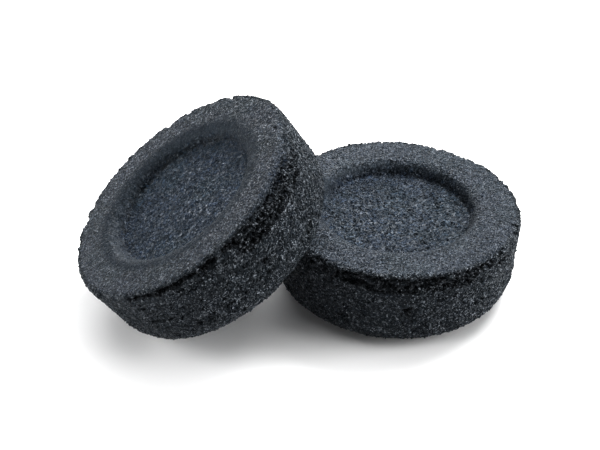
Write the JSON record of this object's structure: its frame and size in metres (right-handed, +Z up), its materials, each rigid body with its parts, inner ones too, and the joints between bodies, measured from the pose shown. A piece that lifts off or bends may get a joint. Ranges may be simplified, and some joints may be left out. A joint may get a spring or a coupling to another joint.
{
  "type": "charcoal tablets",
  "caption": "Pair of round pressed charcoal tablets with shallow dished tops, one lying flat and the other leaning on its rim, to be lit as a small ember.",
  "frame": {"origin": "centre of the flat tablet's base, on the surface that the pair stands on", "axes": "+Z up; +X from the leaning tablet towards the flat one, in the plane of symmetry; Y across"},
  "size_m": [0.0715, 0.04, 0.0321],
  "materials": {
    "pressed_charcoal": "matte"
  },
  "bodies": {
    "flat_tablet": {"flat_tablet": "pressed_charcoal"},
    "leaning_tablet": {"leaning_tablet": "pressed_charcoal"}
  },
  "joints": [
    {"name": "tip_up", "type": "hinge", "parent": "flat_tablet", "child": "leaning_tablet", "pos_m": [-0.04212, 0, 0.005], "axis": [0, -1, 0], "range_deg": [0, 53.9]}
  ]
}
